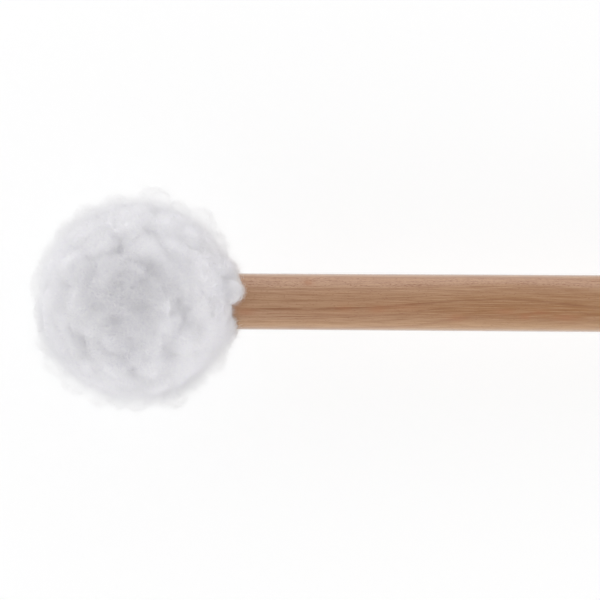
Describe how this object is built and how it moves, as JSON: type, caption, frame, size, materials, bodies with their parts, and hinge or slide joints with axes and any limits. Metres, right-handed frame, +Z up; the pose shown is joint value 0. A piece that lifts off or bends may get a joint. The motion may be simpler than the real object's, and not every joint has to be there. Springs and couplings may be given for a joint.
{
  "type": "bass drum mallet",
  "caption": "Bass drum mallet with a straight turned wooden handle and a round fleece-covered head, lying at rest.",
  "frame": {"origin": "on the surface that the mallet lies on, under the middle of its bounding box", "axes": "+X runs from the head to the butt, along the surface below the handle; +Z is up; +Y is to the side"},
  "size_m": [0.3732, 0.0615, 0.0613],
  "materials": {
    "handle_wood": "satin clear lacquer over straight-grained hardwood",
    "core_wood": "bare turned wood",
    "hard_felt": "pressed wool felt",
    "soft_felt": "soft wool felt",
    "knit": "fine knit",
    "thread": "waxed twist",
    "zinc_steel": "bright zinc plate",
    "fleece": "soft curly synthetic fleece"
  },
  "bodies": {
    "root": {"handle": "handle_wood", "shoulder_washer": "hard_felt", "head_core": "core_wood", "front_washer": "zinc_steel", "core_screw": "zinc_steel", "felt_liner": "soft_felt", "knit_backing": "knit", "gathering_thread": "thread", "fleece_pile": "fleece"}
  },
  "joints": []
}
